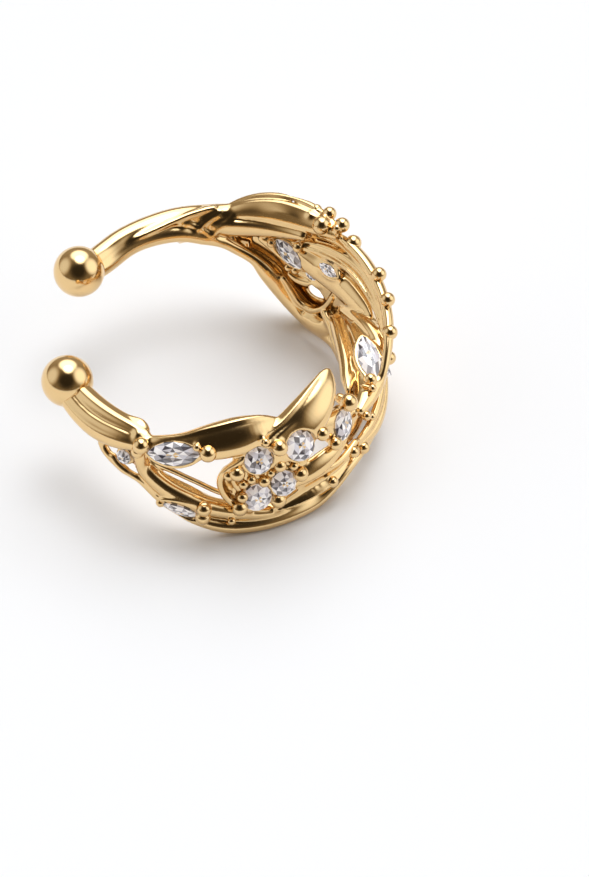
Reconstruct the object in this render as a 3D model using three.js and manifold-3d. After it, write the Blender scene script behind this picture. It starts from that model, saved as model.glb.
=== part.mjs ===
// An open ear cuff: a crescent of woven gold leaves and strands between two ball ends, set with clear stones.
// Millimetres, +Z up. The cuff lies on its side, its ring axis upright, and the mouth faces -X.
// Places on the ring are cylindrical: an angle about the ring axis (0 at the back, 180 at the mouth,
// 90 on the +Y side), a radius from the axis, and a height above the surface that the cuff lies on.
import * as THREE from "three";
import { mergeVertices } from "three/addons/utils/BufferGeometryUtils.js";
import Module from "manifold-3d";

const wasm = await Module();
wasm.setup();

// Driving dimensions.
const RING_AXIS_X = -0.26; // the ring axis, seen from the centre of the footprint
const RING_AXIS_Y = 0.04;
const BALL_RADIUS = 1.04;
const REACH = 10; // half the side of a block that holds the whole cuff
const STONE_GAP = 0.04; // clearance between a stone and its seat
const GIRDLE = 0.06; // height of a stone's girdle
const TABLE_SHARE = 0.55; // a stone's table, as a share of its outline
const CROWN_SHARE = 0.17; // crown height, as a share of the width
const PAVILION_SHARE = 0.42; // pavilion depth, as a share of the width
const WINDOW_SHARE = 0.8; // the opening over a stone, as a share of its outline
const WINDOW_HEIGHT = 0.7;
const PEG_SHARE = 0.75; // a grain's peg, as a share of the grain's radius
const BALL_AROUND = 20;
const BALL_ROWS = 12;
const GRAIN_AROUND = 6;
const GRAIN_ROWS = 4;
const PEG_SIDES = 5;
const STONE_SIDES = 12;
const LEAF_SIDES = 10;
const STRAND_SIDES = 6;
const THIN = 0.2; // strands thinner than this take fewer sides
const THIN_SIDES = 5;

const GOLD = { color: 0xe0b464, roughness: 0.12, metalness: 1.0 };
const STONE = { color: 0xf4f4fa, roughness: 0.02, metalness: 0.0 };

// Columns: angle, radius, height, half width (up the ring), half thickness (out of the ring), tilt.
// Tilt turns the broad face from facing outward (0) to facing up (90) and inward (180).
const STRANDS = {
  far_arm: [
    [157, 6.40, 4.80, 0.46, 0.46, 0],
    [141, 6.45, 4.66, 0.47, 0.47, 0],
    [130, 6.45, 4.84, 0.47, 0.47, 0],
    [118, 6.45, 4.97, 0.47, 0.47, 0],
    [108, 6.45, 5.08, 0.46, 0.46, 0],
    [97, 6.45, 5.10, 0.45, 0.45, 0],
    [86, 6.50, 5.15, 0.42, 0.42, 0],
    [77, 6.55, 5.10, 0.25, 0.25, 0],
  ],
  far_inner_strand: [
    [157, 6.20, 4.60, 0.36, 0.36, 0],
    [141, 6.15, 4.40, 0.40, 0.40, 0],
    [126, 6.08, 4.70, 0.36, 0.36, 0],
    [109, 5.98, 4.70, 0.36, 0.36, 0],
    [99, 5.95, 4.40, 0.34, 0.34, 0],
    [91, 5.95, 4.10, 0.27, 0.27, 0],
    [85, 5.98, 3.72, 0.26, 0.26, 0],
    [78, 6.00, 3.28, 0.28, 0.28, 0],
    [73, 6.02, 2.75, 0.32, 0.32, 0],
    [68, 6.08, 2.05, 0.34, 0.34, 0],
    [62, 6.10, 1.40, 0.34, 0.34, 0],
    [56, 6.10, 0.95, 0.34, 0.34, 0],
    [50, 6.05, 0.78, 0.36, 0.36, 0],
    [44, 5.95, 0.95, 0.36, 0.36, 0],
    [37, 5.82, 0.95, 0.36, 0.36, 0],
    [29, 5.66, 0.80, 0.36, 0.36, 0],
    [20, 5.45, 0.78, 0.32, 0.32, 0],
    [10, 5.45, 1.00, 0.30, 0.30, 0],
    [0, 5.70, 1.30, 0.25, 0.25, 0],
  ],
  far_vein: [
    [131, 6.30, 4.62, 0.08, 0.08, 0],
    [124, 6.12, 4.80, 0.14, 0.12, 0],
    [116, 6.08, 4.98, 0.16, 0.14, 0],
    [108, 6.10, 5.20, 0.14, 0.13, 0],
    [100, 6.20, 5.42, 0.12, 0.12, 0],
    [92, 6.35, 5.46, 0.10, 0.10, 0],
  ],
  near_arm_outer: [
    [-155, 6.45, 4.60, 0.42, 0.42, 0],
    [-146, 6.58, 4.45, 0.46, 0.44, 10],
    [-137, 6.62, 4.25, 0.48, 0.44, 15],
    [-128, 6.62, 4.15, 0.50, 0.44, 20],
    [-119, 6.58, 4.20, 0.46, 0.40, 20],
    [-112, 6.52, 4.28, 0.34, 0.32, 10],
  ],
  near_arm_middle: [
    [-155, 6.30, 4.75, 0.30, 0.30, 0],
    [-146, 6.25, 4.72, 0.34, 0.34, 0],
    [-136, 6.22, 4.68, 0.34, 0.34, 0],
    [-126, 6.20, 4.64, 0.32, 0.32, 0],
    [-117, 6.22, 4.64, 0.26, 0.26, 0],
    [-110, 6.30, 4.60, 0.20, 0.20, 0],
  ],
  near_arm_rim: [
    [-153, 6.05, 4.70, 0.20, 0.20, 0],
    [-143, 5.98, 4.72, 0.22, 0.22, 0],
    [-132, 5.94, 4.70, 0.20, 0.20, 0],
    [-121, 5.92, 4.66, 0.18, 0.18, 0],
    [-114, 5.92, 4.70, 0.20, 0.20, 0],
    [-111, 6.05, 4.60, 0.16, 0.16, 0],
  ],
  cluster_rim: [
    [-57, 6.30, 4.95, 0.10, 0.10, 0],
    [-66, 6.50, 4.62, 0.10, 0.12, 0],
    [-74, 6.60, 4.22, 0.11, 0.14, 0],
    [-80, 6.60, 3.70, 0.12, 0.16, 0],
    [-83, 6.58, 3.10, 0.13, 0.18, 0],
    [-82, 6.60, 2.30, 0.14, 0.18, 0],
    [-78, 6.64, 1.50, 0.14, 0.16, 0],
  ],
  inner_rail: [
    [-113, 6.42, 3.45, 0.30, 0.30, 0],
    [-108, 6.50, 2.78, 0.36, 0.38, 0],
    [-102, 6.52, 2.22, 0.40, 0.42, 0],
    [-95, 6.52, 1.78, 0.41, 0.42, 0],
    [-88, 6.50, 1.40, 0.40, 0.42, 0],
    [-80, 6.45, 1.05, 0.38, 0.40, 0],
    [-71, 6.42, 0.75, 0.36, 0.38, 0],
    [-61, 6.42, 0.52, 0.36, 0.36, 0],
    [-50, 6.42, 0.42, 0.34, 0.34, 0],
    [-42, 6.42, 0.52, 0.32, 0.32, 0],
    [-34, 6.45, 0.85, 0.30, 0.30, 0],
    [-24, 6.50, 1.20, 0.28, 0.28, 0],
  ],
  outer_rail: [
    [-127, 6.55, 3.40, 0.12, 0.12, 0],
    [-124, 6.62, 2.95, 0.14, 0.14, 0],
    [-118, 6.66, 2.62, 0.15, 0.15, 0],
    [-111, 6.72, 2.45, 0.16, 0.16, 0],
    [-104, 6.74, 1.72, 0.18, 0.18, 0],
    [-96, 6.74, 1.05, 0.22, 0.22, 0],
    [-90, 6.72, 0.55, 0.26, 0.26, 0],
    [-85, 6.70, 0.27, 0.30, 0.30, 0],
    [-69, 6.68, 0.24, 0.30, 0.30, 0],
    [-58, 6.66, 0.22, 0.29, 0.29, 0],
    [-48, 6.66, 0.24, 0.28, 0.28, 0],
    [-40, 6.70, 0.52, 0.27, 0.27, 0],
    [-30, 6.74, 0.90, 0.30, 0.26, 0],
    [-20, 6.78, 1.00, 0.36, 0.26, 0],
    [-10, 6.78, 1.00, 0.38, 0.26, 0],
    [0, 6.75, 0.90, 0.38, 0.26, 0],
    [12, 6.72, 0.74, 0.36, 0.26, 0],
    [26, 6.70, 0.46, 0.30, 0.27, 0],
    [40, 6.68, 0.24, 0.29, 0.29, 0],
    [50, 6.66, 0.22, 0.29, 0.29, 0],
    [58, 6.68, 0.24, 0.30, 0.30, 0],
    [68, 6.76, 0.27, 0.30, 0.30, 0],
    [71, 6.72, 1.45, 0.28, 0.28, 0],
    [74, 6.64, 2.40, 0.27, 0.27, 0],
    [82, 6.58, 3.30, 0.25, 0.25, 0],
    [91, 6.50, 4.10, 0.22, 0.22, 0],
    [99, 6.45, 4.80, 0.20, 0.20, 0],
  ],
  upper_wire: [
    [-112, 6.35, 3.70, 0.14, 0.14, 0],
    [-106, 6.28, 3.15, 0.13, 0.13, 0],
    [-99, 6.20, 2.78, 0.12, 0.12, 0],
    [-91, 6.20, 2.35, 0.12, 0.12, 0],
    [-84, 6.28, 1.95, 0.12, 0.12, 0],
    [-77, 6.42, 1.70, 0.12, 0.12, 0],
  ],
  lower_wire: [
    [-112, 6.30, 3.20, 0.14, 0.14, 0],
    [-104, 6.22, 2.50, 0.16, 0.14, 0],
    [-94, 6.20, 1.95, 0.16, 0.14, 0],
    [-85, 6.20, 1.25, 0.16, 0.14, 0],
    [-77, 6.20, 0.85, 0.16, 0.14, 0],
    [-66, 6.25, 0.60, 0.14, 0.14, 0],
  ],
  joint_post: [
    [-112.5, 6.45, 4.60, 0.20, 0.20, 0],
    [-111.8, 6.58, 4.20, 0.24, 0.28, 0],
    [-111.0, 6.62, 3.70, 0.26, 0.32, 0],
    [-110.2, 6.60, 3.10, 0.24, 0.30, 0],
    [-109.5, 6.55, 2.70, 0.20, 0.24, 0],
  ],
  side_loop: [
    [-125, 6.45, 3.95, 0.12, 0.12, 0],
    [-129, 6.52, 3.55, 0.12, 0.12, 0],
    [-128, 6.56, 3.10, 0.13, 0.13, 0],
    [-122, 6.62, 2.72, 0.14, 0.14, 0],
  ],
  lower_split: [
    [-62, 6.60, 1.35, 0.14, 0.14, 0],
    [-55, 6.70, 1.35, 0.16, 0.16, 0],
    [-48, 6.78, 1.12, 0.18, 0.18, 0],
    [-42, 6.80, 1.10, 0.17, 0.17, 0],
    [-36, 6.76, 1.30, 0.16, 0.16, 0],
    [-28, 6.70, 1.75, 0.15, 0.15, 0],
    [-20, 6.68, 2.10, 0.14, 0.14, 0],
  ],
  upper_split: [
    [-58, 6.60, 1.85, 0.12, 0.12, 0],
    [-50, 6.68, 2.00, 0.13, 0.12, 0],
    [-42, 6.70, 2.00, 0.14, 0.13, 0],
    [-34, 6.66, 1.90, 0.13, 0.13, 0],
    [-27, 6.60, 1.90, 0.12, 0.12, 0],
  ],
  bowl_rim: [
    [66, 6.05, 2.30, 0.12, 0.12, 0],
    [59, 5.98, 1.80, 0.13, 0.13, 0],
    [53, 5.95, 1.60, 0.15, 0.15, 0],
    [47, 5.92, 1.75, 0.15, 0.15, 0],
    [41, 5.90, 2.20, 0.14, 0.14, 0],
    [36, 5.95, 2.80, 0.12, 0.12, 0],
  ],
  inner_strand: [
    [44, 6.00, 2.40, 0.22, 0.22, 0],
    [36, 5.80, 1.90, 0.28, 0.26, 0],
    [28, 5.62, 1.55, 0.30, 0.28, 0],
    [18, 5.50, 1.90, 0.30, 0.28, 0],
    [6, 5.52, 2.40, 0.28, 0.26, 0],
    [-8, 5.66, 3.00, 0.26, 0.24, 0],
    [-20, 5.86, 3.30, 0.24, 0.22, 0],
    [-30, 6.10, 3.50, 0.22, 0.20, 0],
    [-38, 6.30, 3.60, 0.20, 0.20, 0],
  ],
};

// The same columns, for the broad members.
const LEAVES = {
  near_leaf: [
    [-114, 6.45, 4.35, 0.18, 0.16, 35],
    [-106, 6.46, 4.48, 0.30, 0.26, 38],
    [-96, 6.42, 4.65, 0.42, 0.32, 42],
    [-86, 6.34, 4.86, 0.58, 0.38, 45],
    [-76, 6.22, 5.02, 0.60, 0.38, 48],
    [-68, 6.10, 5.06, 0.46, 0.30, 50],
    [-62, 6.00, 5.02, 0.20, 0.15, 50],
  ],
  centre_leaf: [
    [-76, 6.50, 3.95, 0.60, 0.34, 25],
    [-70, 6.50, 4.15, 0.80, 0.38, 28],
    [-62, 6.42, 4.40, 0.88, 0.42, 34],
    [-54, 6.25, 4.78, 0.82, 0.42, 42],
    [-47, 6.02, 5.08, 0.68, 0.38, 50],
    [-41, 5.80, 5.28, 0.50, 0.30, 54],
    [-36, 5.60, 5.42, 0.28, 0.18, 56],
    [-33, 5.50, 5.52, 0.10, 0.08, 56],
  ],
  cluster_plate: [
    [-82, 6.45, 3.00, 0.45, 0.20, 15],
    [-77, 6.50, 2.75, 1.35, 0.30, 18],
    [-70, 6.50, 2.80, 1.60, 0.34, 20],
    [-62, 6.48, 3.05, 1.50, 0.34, 22],
    [-54, 6.46, 3.60, 1.00, 0.32, 25],
    [-47, 6.40, 4.00, 0.50, 0.28, 30],
    [-38, 6.40, 3.70, 0.55, 0.26, 30],
    [-30, 6.38, 3.50, 0.45, 0.22, 30],
  ],
  low_leaf: [
    [-60, 6.50, 2.00, 0.20, 0.16, 25],
    [-54, 6.55, 2.35, 0.34, 0.24, 28],
    [-46, 6.54, 2.45, 0.44, 0.28, 30],
    [-38, 6.48, 2.35, 0.42, 0.26, 28],
    [-31, 6.42, 2.20, 0.22, 0.16, 25],
  ],
  inner_leaf: [
    [40, 6.00, 3.00, 0.14, 0.12, 70],
    [32, 5.82, 2.70, 0.26, 0.20, 65],
    [22, 5.66, 2.60, 0.31, 0.26, 60],
    [10, 5.58, 2.90, 0.33, 0.28, 55],
    [-3, 5.68, 3.35, 0.34, 0.28, 50],
    [-15, 5.92, 3.80, 0.34, 0.28, 45],
    [-24, 6.20, 4.02, 0.32, 0.26, 40],
    [-30, 6.40, 4.15, 0.26, 0.22, 35],
  ],
  stone_leaf: [
    [32, 6.05, 3.50, 0.16, 0.14, 80],
    [24, 6.15, 3.55, 0.42, 0.30, 84],
    [14, 6.28, 3.55, 0.62, 0.38, 88],
    [4, 6.36, 3.42, 0.66, 0.40, 90],
    [-6, 6.42, 3.25, 0.58, 0.38, 88],
    [-15, 6.50, 3.15, 0.40, 0.30, 80],
    [-22, 6.55, 3.10, 0.20, 0.18, 70],
  ],
  back_wall: [
    [-36, 6.46, 2.40, 0.90, 0.34, 0],
    [-24, 6.44, 2.20, 1.15, 0.50, 0],
    [-8, 6.40, 2.15, 1.30, 0.62, 0],
    [8, 6.36, 2.10, 1.35, 0.66, 0],
    [24, 6.36, 2.15, 1.45, 0.60, 0],
    [40, 6.40, 2.40, 1.50, 0.48, 0],
    [54, 6.46, 2.70, 1.60, 0.36, 0],
    [66, 6.50, 3.20, 1.35, 0.30, 0],
    [78, 6.50, 3.90, 0.70, 0.26, 0],
  ],
  back_leaf: [
    [6, 6.80, 2.60, 0.14, 0.12, 15],
    [0, 6.84, 2.10, 0.22, 0.20, 18],
    [-8, 6.84, 1.75, 0.28, 0.24, 20],
    [-16, 6.80, 1.65, 0.28, 0.24, 20],
    [-24, 6.74, 1.70, 0.20, 0.18, 20],
    [-29, 6.68, 1.80, 0.12, 0.12, 20],
  ],
  ridge_leaf: [
    [60, 6.05, 4.60, 0.16, 0.14, 120],
    [54, 6.10, 4.72, 0.44, 0.30, 122],
    [46, 6.18, 4.78, 0.66, 0.42, 122],
    [36, 6.28, 4.78, 0.78, 0.48, 120],
    [26, 6.40, 4.72, 0.74, 0.46, 116],
    [17, 6.52, 4.62, 0.56, 0.40, 112],
    [9, 6.66, 4.45, 0.32, 0.28, 108],
    [3, 6.74, 4.20, 0.12, 0.12, 104],
  ],
  top_leaf: [
    [93, 6.30, 5.00, 0.20, 0.16, 100],
    [86, 6.38, 5.22, 0.46, 0.34, 104],
    [78, 6.42, 5.45, 0.62, 0.44, 108],
    [69, 6.46, 5.62, 0.66, 0.48, 110],
    [60, 6.50, 5.74, 0.62, 0.44, 112],
    [52, 6.54, 5.80, 0.42, 0.32, 114],
    [47, 6.56, 5.82, 0.22, 0.20, 114],
  ],
  top_wall: [
    [97, 6.10, 4.72, 0.35, 0.22, 165],
    [88, 6.05, 4.78, 0.42, 0.24, 165],
    [78, 6.05, 4.92, 0.36, 0.24, 165],
    [68, 6.10, 5.10, 0.28, 0.22, 165],
    [58, 6.15, 5.30, 0.20, 0.20, 165],
  ],
  seat_leaf: [
    [76, 6.10, 4.40, 0.14, 0.14, 165],
    [70, 6.12, 4.22, 0.38, 0.20, 165],
    [64, 6.14, 4.00, 0.46, 0.22, 165],
    [58, 6.16, 3.75, 0.32, 0.20, 165],
    [52, 6.20, 3.50, 0.16, 0.14, 165],
  ],
  far_leaf: [
    [92, 6.60, 3.60, 0.16, 0.14, 20],
    [84, 6.66, 3.75, 0.42, 0.24, 18],
    [74, 6.68, 3.90, 0.62, 0.30, 15],
    [64, 6.68, 4.10, 0.66, 0.30, 15],
    [54, 6.68, 4.35, 0.52, 0.28, 18],
    [45, 6.66, 4.60, 0.30, 0.22, 20],
  ],
  far_low_leaf: [
    [74, 6.62, 1.80, 0.16, 0.14, 10],
    [66, 6.68, 1.90, 0.40, 0.22, 10],
    [56, 6.70, 2.10, 0.56, 0.28, 12],
    [46, 6.70, 2.40, 0.60, 0.28, 12],
    [36, 6.70, 2.80, 0.54, 0.28, 15],
    [26, 6.72, 3.25, 0.40, 0.24, 18],
    [16, 6.74, 3.60, 0.18, 0.16, 20],
  ],
};

// Ball ends of the two arms. Columns: angle, radius, height.
const BALL_ENDS = [
  [152.6, 6.40, 4.86],
  [-149.7, 6.40, 4.69],
];

// The larger grains, which hold the stones. Columns: angle, radius, height, grain radius, reach of its peg along the radius.
const GRAINS = [
  [-109.4, 6.90, 4.55, 0.28, -0.40],
  [-110.6, 6.92, 4.20, 0.22, -0.40],
  [-87.0, 6.86, 4.66, 0.29, -0.45],
  [-64.3, 6.92, 4.80, 0.29, -0.45],
  [-49.4, 6.90, 4.55, 0.24, -0.60],
  [-77.6, 6.92, 3.55, 0.27, -0.40],
  [-80.2, 6.84, 3.40, 0.20, -0.35],
  [-68.7, 6.96, 2.90, 0.20, -0.40],
  [-63.3, 6.96, 3.55, 0.22, -0.40],
  [-55.8, 6.96, 2.68, 0.26, -0.45],
  [-63.8, 6.92, 1.60, 0.27, -0.50],
  [-76.9, 6.92, 1.60, 0.28, -0.50],
  [-88.6, 6.90, 1.58, 0.26, -0.40],
  [-89.0, 6.92, 1.15, 0.26, -0.35],
  [-31.0, 6.60, 4.42, 0.30, -0.45],
  [-40.8, 6.86, 3.20, 0.24, -0.45],
  [-31.3, 6.88, 1.86, 0.20, -0.35],
  [-25.7, 6.92, 1.55, 0.22, -0.30],
  [-42.6, 6.94, 1.25, 0.20, -0.25],
  [-15.5, 6.62, 3.45, 0.22, -0.15],
  [39.0, 6.80, 5.50, 0.24, -0.55],
  [24.0, 6.92, 5.30, 0.25, -0.50],
  [11.5, 6.98, 4.95, 0.25, -0.40],
  [5.5, 7.02, 4.05, 0.25, -0.60],
  [3.5, 7.00, 3.30, 0.22, -0.60],
  [52.0, 6.94, 6.22, 0.22, -0.40],
  [46.8, 6.90, 6.10, 0.27, -0.40],
  [49.5, 6.50, 6.05, 0.30, 0.10],
  [59.5, 6.02, 4.70, 0.20, 0.15],
  [86.0, 6.88, 4.15, 0.24, -0.35],
  [56.0, 6.92, 4.90, 0.25, -0.35],
  [68.0, 6.88, 2.50, 0.24, -0.35],
  [46.0, 6.92, 3.45, 0.25, -0.35],
  [32.0, 6.92, 2.60, 0.24, -0.30],
];

// Stones. Columns: name, angle, radius, height, length, width, tilt of the table from facing outward,
// yaw of the long side from level, pitch of the long side out of that plane.
const STONES = [
  ["stone_near_marquise", -98.4, 6.80, 4.42, 2.10, 0.98, 30, 7, 0],
  ["stone_round_1", -55.3, 6.78, 4.08, 1.26, 1.26, 34, 0, 0],
  ["stone_round_2", -70.2, 6.78, 3.95, 1.14, 1.14, 30, 0, 0],
  ["stone_round_3", -61.4, 6.80, 2.32, 1.06, 1.06, 24, 0, 0],
  ["stone_round_4", -70.6, 6.78, 1.88, 1.16, 1.16, 18, 0, 0],
  ["stone_oval", -34.6, 6.66, 3.58, 1.36, 0.86, 32, 44, 0],
  ["stone_rail_marquise", -96.4, 6.90, 1.42, 1.50, 0.62, -20, -30, 0],
  ["stone_loop", -116.6, 6.74, 3.50, 0.62, 0.62, 10, 0, 0],
  ["stone_back_marquise", -3.3, 6.24, 3.66, 2.20, 0.90, 90, 12, 17],
  ["stone_inner_kite", 63.8, 6.00, 4.10, 1.55, 0.76, 165, -33, 0],
  ["stone_groove", 44.0, 5.98, 4.50, 1.00, 0.40, 150, 5, 0],
  ["stone_top_marquise", 68.0, 6.92, 5.82, 2.10, 0.80, 35, -12, 0],
  ["stone_far_marquise", 70.5, 6.92, 3.90, 2.20, 0.96, 12, -10, 0],
  ["stone_far_low_marquise", 39.0, 6.92, 2.75, 1.90, 0.90, 10, -14, 0],
];

const radians = THREE.MathUtils.degToRad;
const UP = new THREE.Vector3(0, 0, 1);

// The point at an angle, radius and height on the ring.
function onRing(angle, radius, height) {
  const a = radians(angle);
  return new THREE.Vector3(radius * Math.cos(a), radius * Math.sin(a), height);
}

function outward(angle) {
  return onRing(angle, 1, 0);
}

// Two unit vectors across a member: out of its broad face, and along its width.
function faceAndWidth(angle, along, tilt) {
  const out = outward(angle);
  out.addScaledVector(along, -out.dot(along)).normalize();
  const up = new THREE.Vector3().crossVectors(out, along);
  const t = radians(tilt);
  const face = out.clone().multiplyScalar(Math.cos(t)).addScaledVector(up, Math.sin(t));
  const width = up.clone().multiplyScalar(Math.cos(t)).addScaledVector(out, -Math.sin(t));
  return { face, width };
}

// A closed member of elliptical sections along the rows of its table.
function loft(rows, sides) {
  const ordered = rows[0][0] < rows[rows.length - 1][0] ? rows : [...rows].reverse();
  const centres = ordered.map(([angle, radius, height]) => onRing(angle, radius, height));
  const points = [];
  ordered.forEach(([angle, , , halfWidth, halfThick, tilt], i) => {
    const next = centres[Math.min(i + 1, centres.length - 1)];
    const along = next.clone().sub(centres[Math.max(i - 1, 0)]).normalize();
    const { face, width } = faceAndWidth(angle, along, tilt);
    for (let s = 0; s < sides; s++) {
      const turn = (2 * Math.PI * (s + 0.5)) / sides;
      points.push(centres[i].clone()
        .addScaledVector(width, halfWidth * Math.cos(turn))
        .addScaledVector(face, halfThick * Math.sin(turn)));
    }
  });
  return closedTube(points, sides, ordered.length);
}

// Faces of a tube of rings of points, closed flat at both ends.
function closedTube(points, sides, rings) {
  const faces = [];
  for (let r = 0; r < rings - 1; r++) {
    for (let s = 0; s < sides; s++) {
      const a = r * sides + s;
      const b = r * sides + ((s + 1) % sides);
      faces.push(a, b, b + sides, a, b + sides, a + sides);
    }
  }
  const end = (rings - 1) * sides;
  for (let s = 1; s < sides - 1; s++) {
    faces.push(0, s + 1, s);
    faces.push(end, end + s, end + s + 1);
  }
  return { points, faces };
}

function solid({ points, faces }) {
  return new wasm.Manifold(new wasm.Mesh({
    numProp: 3,
    vertProperties: new Float32Array(points.flatMap((p) => [p.x, p.y, p.z])),
    triVerts: new Uint32Array(faces),
  }));
}

// A three.js geometry as a solid, moved to a place.
function solidOfGeometry(source, matrix) {
  const geometry = source.clone();
  geometry.deleteAttribute("normal");
  geometry.deleteAttribute("uv");
  geometry.applyMatrix4(matrix);
  const merged = mergeVertices(geometry, 1e-4);
  return new wasm.Manifold(new wasm.Mesh({
    numProp: 3,
    vertProperties: merged.attributes.position.array,
    triVerts: new Uint32Array(merged.index.array),
  }));
}

function ball(place, radius, around, rows) {
  const matrix = new THREE.Matrix4().makeTranslation(place.x, place.y, place.z);
  return solidOfGeometry(new THREE.SphereGeometry(radius, around, rows), matrix);
}

// A grain of metal on a short peg that roots it in the member behind it.
function grain([angle, radius, height, size, reach]) {
  const place = onRing(angle, radius, height);
  const bead = ball(place, size, GRAIN_AROUND, GRAIN_ROWS);
  const length = Math.abs(reach);
  const peg = new THREE.CylinderGeometry(size * PEG_SHARE, size * PEG_SHARE, length, PEG_SIDES);
  const along = outward(angle).multiplyScalar(Math.sign(reach));
  const matrix = new THREE.Matrix4().makeRotationFromQuaternion(
    new THREE.Quaternion().setFromUnitVectors(new THREE.Vector3(0, 1, 0), along),
  );
  matrix.setPosition(place.clone().addScaledVector(along, length / 2));
  return bead.add(solidOfGeometry(peg, matrix));
}

// Outline of a stone: round where length and width agree, else pointed at both ends.
function stoneOutline(length, width, count) {
  const pointed = length > 1.3 * width;
  const outline = [];
  for (let i = 0; i < count; i++) {
    const turn = (2 * Math.PI * i) / count;
    const side = Math.sin(turn);
    const across = pointed ? side * Math.sqrt(Math.abs(side)) : side;
    outline.push([(length / 2) * Math.cos(turn), (width / 2) * across]);
  }
  return outline;
}

// Levels of an outline, each as [share of the outline, height], closed top and bottom.
function stack(outline, levels) {
  const points = levels.flatMap(([share, height]) =>
    outline.map(([x, y]) => new THREE.Vector3(x * share, y * share, height)));
  return closedTube(points, outline.length, levels.length);
}

function stoneLevels(width, grow) {
  return [
    [0.04 * grow, -(PAVILION_SHARE * width) * grow - GIRDLE / 2],
    [grow, -GIRDLE / 2],
    [grow, GIRDLE / 2],
    [TABLE_SHARE * grow, CROWN_SHARE * width * grow + GIRDLE / 2],
  ];
}

// The matrix that carries a stone, table up, to its seat.
function seatMatrix([, angle, radius, height, , , tilt, yaw, pitch]) {
  const along = new THREE.Vector3().crossVectors(UP, outward(angle));
  const { face, width } = faceAndWidth(angle, along, tilt);
  const y = radians(yaw);
  const p = radians(pitch);
  const level = along.multiplyScalar(Math.cos(y)).addScaledVector(width, Math.sin(y));
  const long = level.clone().multiplyScalar(Math.cos(p)).addScaledVector(face, Math.sin(p));
  const table = face.clone().multiplyScalar(Math.cos(p)).addScaledVector(level, -Math.sin(p));
  const matrix = new THREE.Matrix4().makeBasis(long, new THREE.Vector3().crossVectors(table, long), table);
  return matrix.setPosition(onRing(angle, radius, height));
}

function moved({ points, faces }, matrix) {
  return { points: points.map((p) => p.clone().applyMatrix4(matrix)), faces };
}

function stoneSolid(stone) {
  const [, , , , length, width] = stone;
  const outline = stoneOutline(length, width, STONE_SIDES);
  return solid(moved(stack(outline, stoneLevels(width, 1)), seatMatrix(stone)));
}

// What a stone takes out of the metal: its own form with clearance, and a window over its table.
function seatCutter(stone) {
  const [, , , , length, width] = stone;
  const outline = stoneOutline(length, width, STONE_SIDES);
  const seat = stack(outline, stoneLevels(width, 1 + (2 * STONE_GAP) / width));
  const window = stack(outline, [[WINDOW_SHARE, -GIRDLE / 2], [WINDOW_SHARE, WINDOW_HEIGHT]]);
  const matrix = seatMatrix(stone);
  return solid(moved(seat, matrix)).add(solid(moved(window, matrix)));
}

function sidesOf(rows) {
  return Math.max(...rows.map((row) => row[3])) < THIN ? THIN_SIDES : STRAND_SIDES;
}

// All the metal as one cast and soldered body, cut by the stones' seats and by the surface it lies on.
function castBody() {
  const members = [
    ...Object.values(STRANDS).map((rows) => solid(loft(rows, sidesOf(rows)))),
    ...Object.values(LEAVES).map((rows) => solid(loft(rows, LEAF_SIDES))),
    ...BALL_ENDS.map((row) => ball(onRing(...row), BALL_RADIUS, BALL_AROUND, BALL_ROWS)),
    ...GRAINS.map(grain),
  ];
  const metal = members.reduce((sum, member) => sum.add(member));
  const cut = STONES.map(seatCutter).reduce((rest, cutter) => rest.subtract(cutter), metal);
  const slab = new THREE.BoxGeometry(2 * REACH, 2 * REACH, REACH);
  const above = solidOfGeometry(slab, new THREE.Matrix4().makeTranslation(0, 0, REACH / 2));
  const rested = cut.intersect(above);
  // A seat can cut a sliver loose. Only the body itself is kept.
  return rested.decompose().reduce((most, piece) => (piece.volume() > most.volume() ? piece : most));
}

function meshOf(name, body, finish) {
  const { numProp, numVert, vertProperties, triVerts } = body.getMesh();
  const positions = new Float32Array(numVert * 3);
  for (let i = 0; i < numVert; i++) {
    positions.set(vertProperties.subarray(i * numProp, i * numProp + 3), i * 3);
  }
  const geometry = new THREE.BufferGeometry();
  geometry.setAttribute("position", new THREE.BufferAttribute(positions, 3));
  geometry.setIndex(new THREE.BufferAttribute(triVerts, 1));
  geometry.computeVertexNormals();
  const mesh = new THREE.Mesh(geometry, new THREE.MeshStandardMaterial(finish));
  mesh.name = name;
  return mesh;
}

const cuff = new THREE.Group();
cuff.position.set(RING_AXIS_X, RING_AXIS_Y, 0);
cuff.add(meshOf("cuff_body", castBody(), GOLD));
for (const stone of STONES) {
  cuff.add(meshOf(stone[0], stoneSolid(stone), STONE));
}

export default cuff;
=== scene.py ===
# The looks of an open gold ear cuff: a crescent of woven leaves and strands between two ball ends, set with
# stones. Tables are in millimetres and degrees about the ring's axis: an angle (0 at the back, 180 at the
# mouth, 90 on the +Y side), a radius, and a height above the floor.
import math

import bmesh
import bpy
import numpy as np
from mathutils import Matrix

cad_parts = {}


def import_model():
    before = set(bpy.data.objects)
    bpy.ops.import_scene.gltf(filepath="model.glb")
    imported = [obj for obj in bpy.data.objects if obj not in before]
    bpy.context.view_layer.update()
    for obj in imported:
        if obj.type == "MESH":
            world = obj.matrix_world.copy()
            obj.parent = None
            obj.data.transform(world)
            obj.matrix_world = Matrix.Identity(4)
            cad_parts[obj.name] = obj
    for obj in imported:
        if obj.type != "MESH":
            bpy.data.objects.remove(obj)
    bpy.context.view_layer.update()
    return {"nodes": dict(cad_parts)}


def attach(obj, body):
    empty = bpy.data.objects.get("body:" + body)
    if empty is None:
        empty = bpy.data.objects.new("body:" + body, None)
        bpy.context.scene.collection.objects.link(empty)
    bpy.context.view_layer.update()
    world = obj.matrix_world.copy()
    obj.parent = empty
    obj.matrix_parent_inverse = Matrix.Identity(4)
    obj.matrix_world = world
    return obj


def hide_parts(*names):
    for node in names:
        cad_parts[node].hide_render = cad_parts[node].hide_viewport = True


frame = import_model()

import openvdb
from mathutils import Vector

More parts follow.
